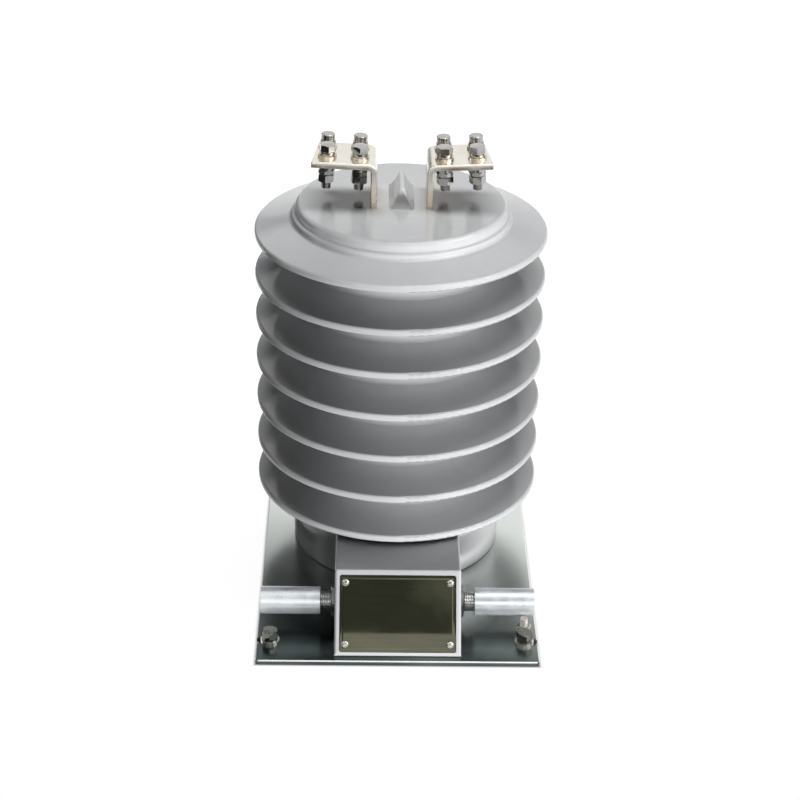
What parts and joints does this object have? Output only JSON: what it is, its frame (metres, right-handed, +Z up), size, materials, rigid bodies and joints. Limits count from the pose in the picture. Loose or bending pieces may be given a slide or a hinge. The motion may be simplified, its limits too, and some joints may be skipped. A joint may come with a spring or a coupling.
{
  "type": "outdoor instrument transformer",
  "caption": "Outdoor post-type current transformer: a ribbed cast-resin body on a steel base plate, with bolted bar terminals on top and a junction block with conduit pipes at the foot.",
  "frame": {"origin": "on the body's vertical axis at the underside of the base plate", "axes": "+Z up along the body, -Y out of the secondary junction block's side, +X towards the right-hand primary terminal seen from the block's side"},
  "size_m": [0.36, 0.49, 0.5498],
  "materials": {
    "cast_resin": "glossy grey casting resin",
    "plate_steel": "dark passivated steel plate, reflective",
    "zinc_steel": "zinc-plated steel",
    "bright_steel": "bright stainless steel",
    "yellow_zinc": "pale yellow passivated zinc",
    "plated_copper": "silver-plated copper bar, satin",
    "copper": "bare copper",
    "winding_copper": "enamelled copper wire, wound and taped",
    "core_steel": "wound silicon-steel strip",
    "socket_brass": "turned brass",
    "cover_sheet": "black high-gloss lacquered sheet",
    "gasket_rubber": "black rubber",
    "bright_screws": "polished plated steel",
    "board_laminate": "brown phenolic laminate",
    "galvanised_pipe": "drawn galvanised steel"
  },
  "bodies": {
    "root": {"base_plate": "plate_steel", "base_bolts": "zinc_steel", "base_flat_washers": "zinc_steel", "base_spring_washers": "zinc_steel", "earth_stud": "zinc_steel", "earth_washer": "zinc_steel", "earth_nut": "zinc_steel", "body_fixing_screws": "zinc_steel", "resin_body": "cast_resin", "body_sockets": "socket_brass", "primary_conductor": "copper", "ring_cores": "core_steel", "secondary_windings": "winding_copper", "secondary_leads": "copper", "terminal_bar_right": "plated_copper", "terminal_bar_left": "plated_copper", "terminal_bolts": "bright_steel", "terminal_cap_screws": "bright_steel", "terminal_thin_nuts": "bright_steel", "terminal_nuts": "bright_steel", "terminal_flat_washers": "yellow_zinc", "terminal_spring_washers": "bright_steel", "junction_cover": "cover_sheet", "cover_gasket": "gasket_rubber", "cover_screws": "bright_screws", "terminal_board": "board_laminate", "secondary_studs": "socket_brass", "secondary_washers": "socket_brass", "secondary_nuts": "socket_brass", "conduit_nipple_right": "galvanised_pipe", "conduit_nipple_left": "galvanised_pipe", "conduit_locknut_right": "galvanised_pipe", "conduit_locknut_left": "galvanised_pipe", "conduit_pipe_right": "galvanised_pipe", "conduit_pipe_left": "galvanised_pipe"}
  },
  "joints": []
}
